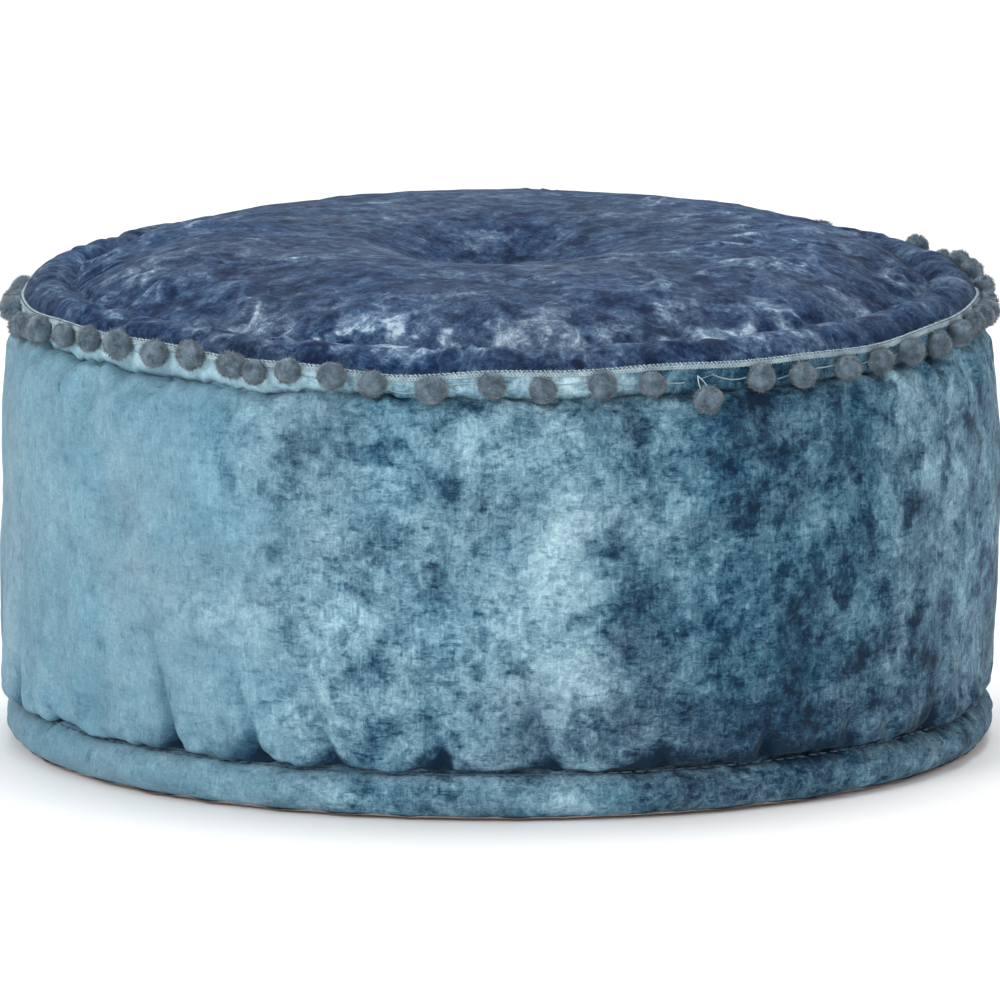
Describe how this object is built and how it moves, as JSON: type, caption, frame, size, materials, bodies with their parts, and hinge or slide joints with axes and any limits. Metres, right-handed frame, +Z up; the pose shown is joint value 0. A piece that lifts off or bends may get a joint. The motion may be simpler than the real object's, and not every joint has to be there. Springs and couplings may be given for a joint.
{
  "type": "floor cushion",
  "caption": "Round drum-shaped floor cushion in crushed velvet with rolled edges top and bottom, a pompom fringe and a tufted dimple in the seat.",
  "frame": {"origin": "middle of the flat underside, on the floor", "axes": "+Z up along the cushion's axis of turning, -Y towards the front, where the loose pompom is (24 degrees from -Y towards +X)"},
  "size_m": [0.4016, 0.4016, 0.2047],
  "materials": {
    "navy_velvet": "crushed velvet pile, dark navy with a pale sheen",
    "teal_velvet": "crushed velvet pile, teal blue",
    "base_canvas": "plain-woven cotton canvas",
    "calico": "plain-woven unbleached cotton",
    "fibre_fill": "loose polyester fibre",
    "fringe_yarn": "cut wool yarn, taupe grey",
    "braid": "woven flat braid, pale grey blue",
    "blue_thread": "spun sewing thread, dark blue"
  },
  "bodies": {
    "cushion": {"seat_panel": "navy_velvet", "seat_button": "navy_velvet", "wall_gusset": "teal_velvet", "base_panel": "base_canvas", "base_button": "base_canvas", "liner_top": "calico", "liner_wall": "calico", "liner_base": "calico", "stuffing": "fibre_fill", "top_edge_wadding": "fibre_fill", "base_edge_wadding": "fibre_fill", "braid_tape": "braid", "tufting_twine": "braid", "braid_topstitch": "blue_thread", "seat_crease_stitching": "blue_thread", "top_crease_stitching": "blue_thread", "base_crease_stitching": "blue_thread", "wall_seam_stitching": "blue_thread", "pompom_run_01": "fringe_yarn", "pompom_run_02": "fringe_yarn", "pompom_run_03": "fringe_yarn", "pompom_run_04": "fringe_yarn", "pompom_run_05": "fringe_yarn", "pompom_run_06": "fringe_yarn", "pompom_run_07": "fringe_yarn", "pompom_run_08": "fringe_yarn", "pompom_run_09": "fringe_yarn", "pompom_run_10": "fringe_yarn", "pompom_run_11": "fringe_yarn", "pompom_run_12": "fringe_yarn"},
    "loose_pompom": {"loose_pompom": "fringe_yarn", "loose_strand": "fringe_yarn"}
  },
  "joints": [
    {"name": "loose_pompom_swing", "type": "hinge", "parent": "cushion", "child": "loose_pompom", "pos_m": [0.07781, -0.17476, 0.1754], "axis": [-0.9135, -0.4067, 0], "range_deg": [0, 125]}
  ]
}
